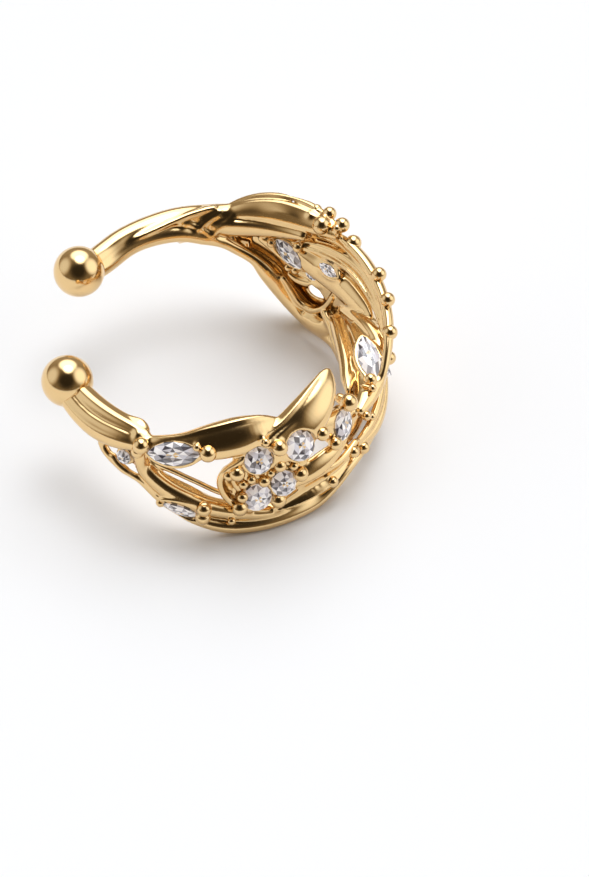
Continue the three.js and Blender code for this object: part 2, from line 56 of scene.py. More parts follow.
MM = 0.001
RING_AXIS = np.array((-0.26, 0.04, 0.0))
BALL_RADIUS = 1.04

# The metal is gathered on a grid of distances to its surface, and its skin is drawn from that.
GRID_LOW = (-7.0, -7.5, -0.15)
GRID_HIGH = (7.5, 7.5, 6.7)
STEP = 0.06
FAR = 0.5  # the distance where there is no metal near
MARGIN = 0.22  # how far round a member its distances are worked out
FILLET = 0.10  # the usual fillet where two members meet
SPAN = 0.18  # a member is sampled about this often along its length

# Columns: angle, radius, height, half width (up the ring), half thickness (out of the ring), tilt.
# Tilt turns the broad face from facing outward (0) to facing up (90) and inward (180).
STRANDS = {
    "far_arm": [
        (157, 6.40, 4.80, 0.46, 0.46, 0),
        (141, 6.45, 4.66, 0.47, 0.47, 0),
        (130, 6.45, 4.84, 0.47, 0.47, 0),
        (118, 6.45, 4.97, 0.47, 0.47, 0),
        (108, 6.45, 5.08, 0.46, 0.46, 0),
        (97, 6.45, 5.10, 0.45, 0.45, 0),
        (86, 6.50, 5.15, 0.42, 0.42, 0),
        (77, 6.55, 5.10, 0.25, 0.25, 0),
    ],
    "far_inner_strand": [
        (157, 6.20, 4.60, 0.36, 0.36, 0),
        (141, 6.15, 4.40, 0.40, 0.40, 0),
        (126, 6.08, 4.70, 0.36, 0.36, 0),
        (109, 5.98, 4.70, 0.36, 0.36, 0),
        (99, 5.95, 4.40, 0.34, 0.34, 0),
        (91, 5.95, 4.10, 0.27, 0.27, 0),
        (85, 5.98, 3.72, 0.26, 0.26, 0),
        (78, 6.00, 3.28, 0.28, 0.28, 0),
        (73, 6.00, 2.72, 0.42, 0.36, 0),
        (68, 6.05, 2.06, 0.45, 0.38, 0),
        (62, 6.06, 1.45, 0.45, 0.38, 0),
        (56, 6.06, 1.05, 0.42, 0.38, 0),
        (50, 6.02, 0.88, 0.38, 0.36, 0),
        (44, 5.98, 0.95, 0.36, 0.36, 0),
        (37, 5.96, 0.95, 0.34, 0.34, 0),
        (29, 5.86, 0.80, 0.34, 0.32, 0),
        (20, 5.70, 0.78, 0.32, 0.30, 0),
        (10, 5.66, 1.00, 0.30, 0.30, 0),
        (0, 5.80, 1.30, 0.25, 0.25, 0),
    ],
    "far_vein": [
        (133, 6.20, 4.86, 0.08, 0.08, 60),
        (126, 6.08, 5.02, 0.20, 0.12, 60),
        (118, 6.04, 5.16, 0.24, 0.14, 60),
        (110, 6.08, 5.32, 0.20, 0.13, 60),
        (102, 6.18, 5.50, 0.14, 0.12, 60),
        (94, 6.34, 5.60, 0.10, 0.10, 60),
    ],
    "far_tie_back": [
        (91, 5.80, 4.10, 0.10, 0.10, 0),
        (97, 5.84, 4.70, 0.11, 0.11, 0),
        (104, 5.98, 5.10, 0.11, 0.11, 0),
        (112, 6.10, 5.32, 0.09, 0.09, 0),
    ],
    "far_tie_high": [
        (99, 5.84, 4.20, 0.10, 0.10, 0),
        (95, 5.84, 4.56, 0.12, 0.12, 0),
        (91, 5.96, 4.95, 0.12, 0.12, 0),
        (87, 6.16, 5.32, 0.12, 0.12, 0),
    ],
    "far_tie_middle": [
        (108, 5.88, 4.30, 0.10, 0.10, 0),
        (103, 5.86, 4.66, 0.13, 0.12, 0),
        (98, 5.98, 5.08, 0.13, 0.12, 0),
        (92, 6.26, 5.46, 0.12, 0.12, 0),
    ],
    "far_tie_low": [
        (113, 6.02, 4.42, 0.10, 0.10, 0),
        (108, 5.98, 4.86, 0.12, 0.12, 0),
        (103, 6.12, 5.26, 0.12, 0.12, 0),
        (97, 6.42, 5.54, 0.11, 0.11, 0),
    ],
    "near_arm_outer": [
        (-155, 6.45, 4.60, 0.42, 0.42, 0),
        (-146, 6.58, 4.45, 0.46, 0.44, 10),
        (-137, 6.62, 4.25, 0.48, 0.44, 15),
        (-128, 6.62, 4.15, 0.50, 0.44, 20),
        (-119, 6.58, 4.20, 0.46, 0.40, 20),
        (-112, 6.52, 4.28, 0.34, 0.32, 10),
    ],
    "near_arm_middle": [
        (-155, 6.30, 4.75, 0.30, 0.30, 0),
        (-146, 6.25, 4.72, 0.34, 0.34, 0),
        (-136, 6.22, 4.68, 0.34, 0.34, 0),
        (-126, 6.20, 4.64, 0.32, 0.32, 0),
        (-117, 6.22, 4.64, 0.26, 0.26, 0),
        (-110, 6.30, 4.60, 0.20, 0.20, 0),
    ],
    "near_arm_rim": [
        (-153, 6.05, 4.70, 0.20, 0.20, 0),
        (-143, 5.98, 4.72, 0.22, 0.22, 0),
        (-132, 5.94, 4.70, 0.20, 0.20, 0),
        (-121, 5.92, 4.66, 0.18, 0.18, 0),
        (-114, 5.92, 4.70, 0.20, 0.20, 0),
        (-111, 6.05, 4.60, 0.16, 0.16, 0),
    ],
    "cluster_rim": [
        (-50, 6.20, 5.00, 0.10, 0.10, 0),
        (-58, 6.44, 4.90, 0.11, 0.12, 0),
        (-66, 6.62, 4.62, 0.12, 0.14, 0),
        (-74, 6.72, 4.22, 0.13, 0.15, 0),
        (-80, 6.72, 3.70, 0.14, 0.16, 0),
        (-83, 6.70, 3.10, 0.15, 0.18, 0),
        (-82, 6.72, 2.30, 0.16, 0.18, 0),
        (-78, 6.74, 1.60, 0.16, 0.16, 0),
        (-73, 6.74, 1.20, 0.14, 0.14, 0),
    ],
    "cluster_inner_rim": [
        (-62, 6.72, 4.66, 0.09, 0.09, 0),
        (-70, 6.80, 4.50, 0.10, 0.10, 0),
        (-76, 6.80, 4.10, 0.11, 0.11, 0),
        (-79, 6.80, 3.55, 0.12, 0.12, 0),
        (-78.5, 6.82, 2.90, 0.12, 0.12, 0),
        (-77, 6.82, 2.50, 0.11, 0.11, 0),
    ],
    "inner_rail": [
        (-113, 6.42, 3.45, 0.30, 0.30, 0),
        (-108, 6.50, 2.78, 0.36, 0.38, 0),
        (-102, 6.52, 2.22, 0.40, 0.42, 0),
        (-95, 6.52, 1.78, 0.41, 0.42, 0),
        (-88, 6.50, 1.40, 0.40, 0.42, 0),
        (-80, 6.45, 1.05, 0.38, 0.40, 0),
        (-71, 6.42, 0.75, 0.36, 0.38, 0),
        (-61, 6.42, 0.52, 0.36, 0.36, 0),
        (-50, 6.42, 0.42, 0.34, 0.34, 0),
        (-42, 6.42, 0.52, 0.32, 0.32, 0),
        (-34, 6.45, 0.85, 0.30, 0.30, 0),
        (-24, 6.50, 1.20, 0.28, 0.28, 0),
    ],
    "outer_rail": [
        (-122, 6.60, 3.00, 0.14, 0.14, 0),
        (-118, 6.66, 2.62, 0.15, 0.15, 0),
        (-111, 6.72, 2.45, 0.16, 0.16, 0),
        (-104, 6.74, 1.76, 0.18, 0.18, 0),
        (-96, 6.74, 1.12, 0.22, 0.22, 0),
        (-88, 6.72, 0.66, 0.26, 0.26, 0),
        (-80, 6.70, 0.38, 0.29, 0.29, 0),
        (-69, 6.68, 0.26, 0.29, 0.29, 0),
        (-58, 6.66, 0.24, 0.28, 0.28, 0),
        (-48, 6.66, 0.30, 0.27, 0.27, 0),
        (-40, 6.68, 0.62, 0.25, 0.25, 0),
        (-32, 6.72, 1.02, 0.22, 0.22, 0),
        (-22, 6.74, 1.18, 0.20, 0.20, 0),
        (-10, 6.72, 1.12, 0.20, 0.20, 0),
        (0, 6.66, 0.95, 0.22, 0.22, 0),
        (12, 6.64, 0.74, 0.24, 0.24, 0),
        (26, 6.66, 0.46, 0.26, 0.26, 0),
        (40, 6.68, 0.27, 0.28, 0.28, 0),
        (50, 6.66, 0.25, 0.28, 0.28, 0),
        (60, 6.66, 0.40, 0.28, 0.28, 0),
        (68, 6.66, 1.10, 0.27, 0.27, 0),
        (75, 6.62, 2.20, 0.26, 0.26, 0),
        (83, 6.56, 3.20, 0.24, 0.24, 0),
        (91, 6.50, 4.00, 0.22, 0.22, 0),
        (99, 6.45, 4.75, 0.20, 0.20, 0),
    ],
    "upper_wire": [
        (-112, 6.35, 3.70, 0.14, 0.14, 0),
        (-106, 6.28, 3.15, 0.13, 0.13, 0),
        (-99, 6.20, 2.78, 0.12, 0.12, 0),
        (-91, 6.20, 2.35, 0.12, 0.12, 0),
        (-84, 6.28, 1.95, 0.12, 0.12, 0),
        (-77, 6.42, 1.70, 0.12, 0.12, 0),
    ],
    "lower_wire": [
        (-112, 6.30, 3.20, 0.14, 0.14, 0),
        (-104, 6.22, 2.50, 0.16, 0.14, 0),
        (-94, 6.20, 1.95, 0.16, 0.14, 0),
        (-85, 6.20, 1.25, 0.16, 0.14, 0),
        (-77, 6.20, 0.85, 0.16, 0.14, 0),
        (-66, 6.25, 0.60, 0.14, 0.14, 0),
    ],
    "joint_post": [
        (-112.5, 6.45, 4.60, 0.20, 0.20, 0),
        (-111.8, 6.58, 4.20, 0.24, 0.28, 0),
        (-111, 6.62, 3.70, 0.26, 0.32, 0),
        (-110.2, 6.60, 3.10, 0.24, 0.30, 0),
        (-109.5, 6.55, 2.70, 0.20, 0.24, 0),
    ],
    "side_loop": [
        (-124, 6.45, 4.00, 0.16, 0.16, 0),
        (-127.5, 6.52, 3.60, 0.18, 0.18, 0),
        (-126.5, 6.56, 3.15, 0.19, 0.18, 0),
        (-122, 6.62, 2.82, 0.18, 0.17, 0),
        (-117, 6.66, 2.62, 0.16, 0.16, 0),
    ],
    "lower_split": [
        (-64, 6.72, 0.90, 0.14, 0.12, 25),
        (-58, 6.75, 1.16, 0.30, 0.16, 28),
        (-51, 6.77, 1.34, 0.38, 0.18, 30),
        (-44, 6.79, 1.44, 0.38, 0.18, 30),
        (-38, 6.80, 1.54, 0.26, 0.15, 28),
        (-33, 6.78, 1.66, 0.12, 0.10, 28),
    ],
    "upper_split": [
        (-56, 6.62, 1.75, 0.12, 0.12, 0),
        (-49, 6.72, 1.86, 0.14, 0.13, 0),
        (-42, 6.78, 1.92, 0.15, 0.14, 0),
        (-35, 6.78, 1.95, 0.14, 0.14, 0),
        (-28, 6.72, 2.05, 0.13, 0.13, 0),
    ],
    "crown_stem": [
        (-31, 6.50, 3.70, 0.16, 0.16, 0),
        (-31.6, 6.44, 4.05, 0.18, 0.18, 0),
        (-31, 6.44, 4.42, 0.20, 0.20, 0),
    ],
    "bowl_rim": [
        (66, 5.98, 2.70, 0.12, 0.12, 0),
        (62, 5.94, 2.20, 0.14, 0.14, 0),
        (58.5, 5.92, 1.82, 0.15, 0.15, 0),
        (54, 5.92, 1.70, 0.16, 0.16, 0),
        (49, 5.92, 1.90, 0.15, 0.15, 0),
        (44, 5.96, 2.50, 0.14, 0.14, 0),
        (41, 6.02, 3.20, 0.12, 0.12, 0),
    ],
    "bowl_bar": [
        (64, 6.10, 2.95, 0.12, 0.12, 0),
        (61, 6.12, 2.76, 0.20, 0.14, 0),
        (57, 6.16, 2.76, 0.22, 0.14, 0),
        (53, 6.20, 2.88, 0.18, 0.14, 0),
        (49, 6.22, 3.10, 0.12, 0.12, 0),
    ],
    "wing_knot": [
        (60, 6.06, 1.30, 0.26, 0.24, 0),
        (55, 6.00, 1.10, 0.40, 0.34, 0),
        (49, 5.90, 1.15, 0.48, 0.38, 0),
        (43, 5.86, 1.45, 0.40, 0.34, 0),
        (38, 5.90, 2.00, 0.26, 0.24, 0),
    ],
    "inner_strand": [
        (44, 5.90, 2.10, 0.20, 0.20, 0),
        (37, 5.72, 1.90, 0.20, 0.20, 0),
        (30, 5.58, 1.50, 0.20, 0.20, 0),
        (20, 5.46, 1.60, 0.20, 0.20, 0),
        (8, 5.44, 2.10, 0.20, 0.20, 0),
        (-6, 5.56, 2.60, 0.20, 0.20, 0),
        (-18, 5.82, 2.95, 0.20, 0.20, 0),
        (-30, 6.10, 3.30, 0.20, 0.20, 0),
        (-38, 6.30, 3.45, 0.18, 0.18, 0),
    ],
}

# The same columns, for the broad members.
LEAVES = {
    "near_leaf": [
        (-114, 6.45, 4.35, 0.18, 0.16, 35),
        (-106, 6.46, 4.48, 0.30, 0.26, 38),
        (-96, 6.42, 4.62, 0.48, 0.34, 42),
        (-86, 6.34, 4.78, 0.72, 0.42, 44),
        (-76, 6.22, 4.92, 0.76, 0.42, 46),
        (-68, 6.10, 5.00, 0.56, 0.34, 50),
        (-62, 6.02, 5.02, 0.26, 0.18, 50),
    ],
    "centre_leaf": [
        (-76, 6.50, 3.95, 0.60, 0.30, 25),
        (-68, 6.50, 4.15, 0.80, 0.36, 28),
        (-58, 6.42, 4.42, 0.90, 0.42, 34),
        (-49.5, 6.25, 4.82, 0.86, 0.42, 42),
        (-42.5, 6.04, 5.14, 0.72, 0.38, 50),
        (-37, 5.84, 5.36, 0.54, 0.30, 54),
        (-33, 5.66, 5.50, 0.34, 0.20, 56),
        (-30.5, 5.56, 5.60, 0.14, 0.10, 56),
    ],
    "cluster_plate": [
        (-82, 6.34, 3.00, 0.40, 0.14, 15),
        (-77, 6.22, 2.75, 1.25, 0.13, 18),
        (-70, 6.16, 2.80, 1.45, 0.14, 20),
        (-62, 6.14, 3.05, 1.35, 0.14, 22),
        (-54, 6.16, 3.60, 0.95, 0.15, 25),
        (-47, 6.24, 4.00, 0.50, 0.18, 30),
        (-38, 6.32, 3.70, 0.50, 0.20, 30),
        (-30, 6.36, 3.50, 0.40, 0.20, 30),
    ],
    "low_leaf": [
        (-64, 6.66, 1.95, 0.14, 0.12, 30),
        (-58, 6.68, 2.15, 0.30, 0.18, 32),
        (-51, 6.70, 2.32, 0.42, 0.22, 34),
        (-44, 6.70, 2.48, 0.42, 0.22, 34),
        (-38, 6.68, 2.62, 0.30, 0.18, 32),
        (-33, 6.62, 2.75, 0.14, 0.12, 30),
    ],
    "inner_leaf": [
        (38, 5.74, 2.50, 0.12, 0.12, 100),
        (31, 5.54, 2.85, 0.26, 0.24, 100),
        (22, 5.36, 2.98, 0.31, 0.30, 100),
        (12, 5.30, 3.05, 0.33, 0.32, 100),
        (2, 5.36, 3.10, 0.33, 0.32, 100),
        (-7, 5.50, 3.14, 0.31, 0.30, 100),
        (-12.5, 5.64, 3.16, 0.20, 0.20, 100),
        (-15, 5.70, 3.16, 0.10, 0.10, 100),
    ],
    "stone_leaf": [
        (36, 6.00, 2.75, 0.16, 0.14, 88),
        (29, 6.08, 2.95, 0.36, 0.26, 88),
        (21, 6.20, 3.14, 0.56, 0.34, 88),
        (12, 6.32, 3.28, 0.68, 0.38, 88),
        (3, 6.40, 3.34, 0.70, 0.40, 90),
        (-6, 6.44, 3.22, 0.60, 0.38, 88),
        (-15, 6.50, 3.12, 0.42, 0.30, 80),
        (-22, 6.55, 3.08, 0.20, 0.18, 70),
    ],
    "crest_leaf": [
        (35, 6.08, 2.95, 0.12, 0.12, 86),
        (30.5, 6.20, 3.20, 0.26, 0.22, 86),
        (22.5, 6.30, 3.48, 0.32, 0.26, 84),
        (15, 6.46, 3.64, 0.32, 0.28, 82),
        (8, 6.66, 3.64, 0.28, 0.26, 78),
        (3, 6.80, 3.50, 0.20, 0.20, 74),
        (-2, 6.88, 3.20, 0.12, 0.12, 70),
    ],
    "back_wall": [
        (-34, 6.35, 2.60, 0.70, 0.18, 0),
        (-22, 6.28, 2.40, 0.85, 0.20, 0),
        (-8, 6.16, 2.30, 0.95, 0.22, 0),
        (8, 6.06, 2.25, 1.00, 0.24, 0),
        (24, 6.10, 2.30, 1.15, 0.24, 0),
        (40, 6.28, 2.50, 1.35, 0.22, 0),
        (56, 6.38, 2.80, 1.55, 0.20, 0),
        (70, 6.46, 3.40, 1.20, 0.20, 0),
        (80, 6.48, 3.80, 0.70, 0.20, 0),
    ],
    "back_leaf": [
        (6, 6.74, 2.95, 0.10, 0.10, 16),
        (2, 6.82, 2.50, 0.30, 0.18, 16),
        (-4, 6.86, 2.08, 0.44, 0.20, 16),
        (-11, 6.86, 1.86, 0.48, 0.22, 16),
        (-18, 6.84, 1.76, 0.42, 0.20, 18),
        (-25, 6.78, 1.82, 0.26, 0.16, 20),
        (-30, 6.72, 1.92, 0.10, 0.10, 20),
    ],
    "ridge_leaf": [
        (62, 6.30, 4.56, 0.14, 0.14, 112),
        (57, 6.42, 4.66, 0.28, 0.28, 112),
        (51, 6.54, 4.74, 0.38, 0.38, 111),
        (44, 6.66, 4.80, 0.42, 0.45, 110),
        (37, 6.76, 4.83, 0.44, 0.47, 109),
        (30, 6.84, 4.77, 0.43, 0.46, 108),
        (24, 6.90, 4.58, 0.39, 0.42, 107),
        (18, 6.95, 4.32, 0.32, 0.36, 106),
        (12, 6.97, 3.98, 0.22, 0.24, 104),
        (7, 6.95, 3.70, 0.10, 0.10, 102),
    ],
    "ridge_fold": [
        (61, 6.08, 4.34, 0.10, 0.10, 146),
        (56, 6.14, 4.24, 0.28, 0.20, 146),
        (49, 6.20, 4.12, 0.40, 0.26, 146),
        (42, 6.27, 4.06, 0.43, 0.28, 145),
        (35, 6.34, 4.02, 0.42, 0.28, 144),
        (29, 6.44, 3.93, 0.37, 0.26, 142),
        (24, 6.54, 3.85, 0.28, 0.20, 140),
        (20, 6.60, 3.80, 0.14, 0.12, 140),
    ],
    "ridge_wall": [
        (60, 6.02, 3.98, 0.14, 0.12, 186),
        (54, 6.00, 3.82, 0.26, 0.16, 186),
        (46, 6.02, 3.70, 0.30, 0.16, 186),
        (38, 6.08, 3.68, 0.30, 0.16, 184),
        (31, 6.18, 3.68, 0.24, 0.16, 180),
        (25, 6.34, 3.70, 0.14, 0.12, 174),
    ],
    "outer_leaf": [
        (47, 6.82, 5.66, 0.14, 0.14, 50),
        (41, 6.92, 5.52, 0.30, 0.22, 46),
        (34, 6.99, 5.36, 0.34, 0.24, 42),
        (27, 7.04, 5.14, 0.32, 0.24, 38),
        (20, 7.07, 4.90, 0.28, 0.22, 34),
        (12, 7.07, 4.60, 0.26, 0.22, 28),
        (4, 7.02, 4.20, 0.24, 0.20, 25),
        (-3, 6.95, 3.75, 0.20, 0.18, 20),
        (-9, 6.86, 3.30, 0.14, 0.14, 20),
    ],
    "crown_wall": [
        (62, 6.78, 4.90, 0.14, 0.12, 8),
        (54, 6.88, 5.08, 0.36, 0.16, 8),
        (45, 6.93, 5.12, 0.42, 0.16, 8),
        (36, 6.96, 5.02, 0.36, 0.16, 8),
        (28, 6.98, 4.85, 0.14, 0.12, 8),
    ],
    "top_leaf": [
        (97, 6.30, 5.00, 0.10, 0.10, 116),
        (91, 6.40, 5.24, 0.26, 0.18, 120),
        (84, 6.50, 5.50, 0.48, 0.28, 124),
        (77, 6.58, 5.68, 0.62, 0.34, 127),
        (69, 6.62, 5.82, 0.68, 0.38, 128),
        (60, 6.66, 5.88, 0.64, 0.36, 128),
        (52, 6.68, 5.90, 0.48, 0.30, 126),
        (46, 6.70, 5.88, 0.28, 0.20, 122),
    ],
    "top_wall": [
        (97, 6.08, 4.72, 0.35, 0.20, 185),
        (88, 6.03, 4.78, 0.44, 0.22, 188),
        (78, 6.03, 4.92, 0.40, 0.22, 188),
        (68, 6.08, 5.10, 0.30, 0.22, 186),
        (58, 6.14, 5.30, 0.20, 0.20, 182),
    ],
    "seat_leaf": [
        (76, 6.10, 4.40, 0.14, 0.14, 165),
        (70, 6.12, 4.22, 0.38, 0.20, 165),
        (64, 6.14, 4.00, 0.46, 0.22, 165),
        (58, 6.16, 3.75, 0.32, 0.20, 165),
        (52, 6.20, 3.50, 0.16, 0.14, 165),
    ],
    "far_leaf": [
        (92, 6.60, 3.60, 0.16, 0.14, 20),
        (84, 6.66, 3.75, 0.42, 0.24, 18),
        (74, 6.68, 3.90, 0.62, 0.30, 15),
        (64, 6.68, 4.10, 0.66, 0.30, 15),
        (54, 6.68, 4.35, 0.52, 0.28, 18),
        (45, 6.66, 4.60, 0.30, 0.22, 20),
    ],
    "far_low_leaf": [
        (74, 6.62, 1.70, 0.16, 0.14, 10),
        (66, 6.68, 1.70, 0.34, 0.22, 10),
        (57, 6.70, 1.75, 0.40, 0.26, 12),
        (50, 6.70, 1.95, 0.42, 0.26, 12),
        (43, 6.70, 2.35, 0.46, 0.26, 12),
        (36, 6.70, 2.75, 0.50, 0.28, 15),
        (26, 6.72, 3.20, 0.40, 0.24, 18),
        (16, 6.74, 3.60, 0.18, 0.16, 20),
    ],
}

# Ball ends of the two arms. Columns: angle, radius, height.
BALL_ENDS = [
    (152.6, 6.40, 4.86),
    (-149.7, 6.40, 4.69),
]

# The larger grains. Columns: angle, radius, height, grain radius, reach of the peg that roots it.
GRAINS = [
    (-109.4, 6.90, 4.55, 0.28, -0.40),
    (-110.6, 6.92, 4.20, 0.22, -0.40),
    (-87.0, 6.86, 4.66, 0.29, -0.45),
    (-63.4, 6.96, 4.54, 0.28, -0.45),
    (-47.0, 6.92, 4.28, 0.24, -0.60),
    (-77.6, 6.92, 3.55, 0.27, -0.40),
    (-80.2, 6.84, 3.40, 0.20, -0.35),
    (-68.7, 6.96, 2.90, 0.20, -0.65),
    (-63.3, 6.96, 3.55, 0.22, -0.40),
    (-55.8, 6.96, 2.68, 0.26, -0.45),
    (-63.8, 6.92, 1.60, 0.27, -0.50),
    (-76.9, 6.92, 1.60, 0.28, -0.50),
    (-88.6, 6.90, 1.58, 0.26, -0.40),
    (-89.0, 6.92, 1.15, 0.26, -0.35),
    (-31.0, 6.60, 4.42, 0.30, -0.45),
    (-40.8, 6.86, 3.20, 0.24, -0.45),
    (-31.3, 6.88, 1.86, 0.20, -0.35),
    (-25.7, 6.92, 1.55, 0.22, -0.30),
    (-42.6, 6.94, 1.25, 0.20, -0.25),
    (-11.2, 6.52, 3.66, 0.22, -0.10),
    (41.0, 7.06, 5.58, 0.28, -0.20),
    (25.0, 7.14, 5.42, 0.25, -0.15),
    (15.0, 7.13, 5.16, 0.25, -0.15),
    (6.0, 7.10, 4.40, 0.25, -0.15),
    (2.5, 7.05, 3.40, 0.24, -0.40),
    (52.5, 7.06, 6.24, 0.24, -0.30),
    (46.0, 6.98, 6.18, 0.26, -0.30),
    (51.5, 6.46, 6.08, 0.32, 0.10),
    (59.5, 6.02, 4.70, 0.20, 0.15),
    (86.0, 6.88, 4.15, 0.24, -0.35),
    (56.0, 6.92, 4.90, 0.25, -0.35),
    (68.0, 6.88, 2.50, 0.24, -0.35),
    (46.0, 6.92, 3.45, 0.25, -0.35),
    (32.0, 6.92, 2.60, 0.24, -0.30),
]

# Stones. Columns: name, angle, radius, height, length, width, tilt of the table from facing outward,
# yaw of the long side from level, pitch of the long side out of that plane.
STONES = [
    ("stone_near_marquise", -98.4, 6.80, 4.42, 2.10, 0.98, 30, 7, 0),
    ("stone_round_1", -55.3, 6.78, 4.08, 1.26, 1.26, 34, 0, 0),
    ("stone_round_2", -70.2, 6.78, 3.95, 1.14, 1.14, 30, 0, 0),
    ("stone_round_3", -61.4, 6.80, 2.32, 1.06, 1.06, 24, 0, 0),
    ("stone_round_4", -70.6, 6.78, 1.88, 1.16, 1.16, 18, 0, 0),
    ("stone_oval", -34.6, 6.66, 3.58, 1.36, 0.86, 32, 44, 0),
    ("stone_rail_marquise", -96.4, 6.90, 1.42, 1.50, 0.62, -20, -30, 0),
    ("stone_loop", -117.0, 6.74, 3.38, 0.62, 0.62, 10, 0, 0),
    ("stone_back_marquise", -1.4, 6.26, 3.82, 2.05, 0.90, 90, 19, 14),
    ("stone_inner_kite", 63.8, 6.00, 4.10, 1.55, 0.76, 165, -33, 0),
    ("stone_groove", 43.8, 6.00, 4.46, 1.00, 0.42, 140, 0, 0),
    ("stone_top_marquise", 68.0, 6.95, 5.74, 2.10, 0.80, 24, -12, 0),
    ("stone_far_marquise", 70.5, 6.92, 3.90, 2.20, 0.96, 12, -10, 0),
    ("stone_far_low_marquise", 39.0, 6.92, 2.75, 1.90, 0.90, 10, -14, 0),
]

# Grains too small for the CAD body. Columns: angle, radius, height, grain radius.
FINE_GRAINS = [
    (-90.6, 6.80, 4.92, 0.14),
    (-67.8, 6.86, 4.92, 0.14),
    (-72.9, 6.94, 3.12, 0.16),
    (-75.6, 6.92, 2.90, 0.16),
    (-66.4, 6.94, 3.25, 0.14),
    (-58.2, 6.94, 3.25, 0.15),
    (-76.0, 6.94, 2.20, 0.19),
    (-79.6, 6.88, 0.86, 0.14),
    (-17.7, 6.84, 2.40, 0.14),
    (-21.6, 6.80, 2.86, 0.17),
    (17.5, 6.16, 3.40, 0.16),
    (22.5, 6.08, 3.26, 0.20),
    (-14.5, 6.72, 3.60, 0.14),
    (57.5, 7.00, 6.16, 0.18),
    (71.2, 5.98, 4.42, 0.16),
    (63.7, 5.98, 3.40, 0.15),
    (60.5, 5.98, 3.40, 0.15),
    (-103.2, 6.86, 1.62, 0.16),
]

# Stones too small for CAD nodes, in the columns of STONES.
FINE_STONES = [
    ("stone_edge_slice", -2.0, 6.84, 3.50, 1.10, 0.50, 40, 75, 0),
    ("stone_kite_foot", 54.0, 6.10, 3.51, 0.70, 0.50, 165, -33, 0),
]

# Openings through the wall. Columns: angle, radius, height, half length, half height,
# slant of the length from level, heading of the passage (90 is +Y), and its fall.
WINDOWS = [
    (51.7, 6.30, 2.50, 0.44, 0.20, 28, 92, 45),
]

# Ridges along the outer face of a member. Columns: place across, as a share of the half width, width, rise.
RIDGES = {
    "far_arm": [(0.45, 0.10, -0.18)],
    "far_inner_strand": [(0.40, 0.14, -0.20)],
    "near_arm_outer": [(0.55, 0.12, -0.2)],
    "lower_split": [(-0.88, 0.14, 1.8), (0.88, 0.14, 1.8), (0, 0.45, -0.9)],
    "back_leaf": [(0.15, 0.16, -0.6)],
    "inner_leaf": [(-0.45, 0.10, -0.5)],
    "near_leaf": [(0.80, 0.14, 0.5)],
    "ridge_leaf": [(0.55, 0.12, -0.8)],
    "top_leaf": [(-0.55, 0.12, -0.4)],
    "centre_leaf": [(0.84, 0.10, 0.6)],
    "cluster_plate": [(0.90, 0.06, 0.8)],
}

# Fillets of the members that meet the rest in a sharper crease than FILLET gives.
FILLETS = {
    "ridge_leaf": 0.03,
    "ridge_fold": 0.03,
    "crest_leaf": 0.04,
    "inner_leaf": 0.04,
    "top_leaf": 0.04,
    "low_leaf": 0.05,
}

THINNEST = 0.05  # least half width and half thickness of a member
SETTLE_ROUNDS = 3  # how often the skin's points are moved towards the surface
LEAST_SLOPE = 0.2  # keeps a point from jumping where the distances hardly change

WINDOW_AHEAD = 1.4  # how far an opening goes from its place along its heading, and the other way
WINDOW_BEHIND = 0.3
WINDOW_REACH = 2.2  # half the side of the box of the grid that it is cut in

# The cup of metal round a stone, between two heights along the stone's own axis, and the seat cut in it.
CUP_WALL = 0.09
CUP_TOP = -0.06
CUP_DEPTH = 0.55
STONE_GAP = 0.02
SEAT_CLEAR = 0.35  # how far the metal is cut back over a stone
SEAT_TIP = 0.02  # the seat's narrowest, as a share of the stone's outline

# A grain is a ball on a peg.
PEG_SHARE = 0.7  # the peg's thickness as a share of the grain's
FINE_REACH = 0.45  # how far a fine grain's peg goes into the wall
WALL_RADIUS = 6.4  # fine grains closer in than this are on the inner side of the wall
GRAIN_SWELL = 1.22  # a ball's radius over the one its row gives
GRAIN_SIDES = (24, 14)  # faces round a ball and from pole to pole
BALL_SIDES = (64, 40)

# A stone's cut.
POINTED = 1.3  # a stone longer than this many widths has pointed ends
GIRDLE = 0.06  # height of the girdle
CROWN_SHARE = 0.17  # heights of the crown and the pavilion, as shares of the width
PAVILION_SHARE = 0.42
TABLE_INNER = 0.26  # rings of corners above the girdle, as shares of the outline
TABLE_EDGE = 0.58
CROWN_MIDDLE = 0.80
CROWN_MIDDLE_RISE = 0.55  # height of the last of these rings, as a share of the crown

# Each of the facets gets a random tone, and the tone picks a painted colour: white for a painted highlight,
# lavender-grey and near-black for painted shade, gold for a painted reflection of the gold seat beneath.
# Columns: the tone from which a colour holds, then red, green and blue.
STONE_SEED = 7
STONE_PAINTED_GLOW = 0.3  # painted glow: the stone gives off its painted facet colours as light, though it is no lamp
# the tone of the facets painted with a reflection of the gold beneath
PAINTED_GOLD_REFLECTION_TONE = 0.97
PAINTED_LIGHT_TONE_TOP = 0.94  # every other painted tone is below this
PAINTED_FACET_COLOURS = [
    (0.00, 0.05, 0.05, 0.07),
    (0.09, 0.17, 0.1683, 0.1836),
    (0.24, 0.42, 0.4158, 0.4536),
    (0.44, 0.72, 0.7128, 0.7776),
    (0.62, 1.00, 0.99, 1.00),
    (0.95, 0.80, 0.56, 0.26),
]

GOLD = (0.84, 0.59, 0.29, 1)
GOLD_ROUGHNESS = (0.09, 0.17)
GOLD_MOTTLE = 900  # scale of the noise that the roughness follows
FLOOR = (0.90, 0.90, 0.905, 1)
FLOOR_SIZE = 0.8

# The camera faces the target from this direction and distance, then moves this far right and down.
CAMERA_AZIMUTH = 4.0
CAMERA_ELEVATION = 45.0
CAMERA_LENS = 200.0
CAMERA_DISTANCE = 195.0
CAMERA_TARGET = np.array((0.0, 0.0, 4.6))
CAMERA_RIGHT = 3.26
CAMERA_DOWN = 4.22

# The room is warm and dim, and goes over to white where its light is full.
ROOM_LIGHT = 0.20
FULL_LIGHT = 0.8
ROOM_TINT = (1.0, 0.79, 0.52, 1)
LIGHT_TINT = (1.0, 1.02, 1.05, 1)

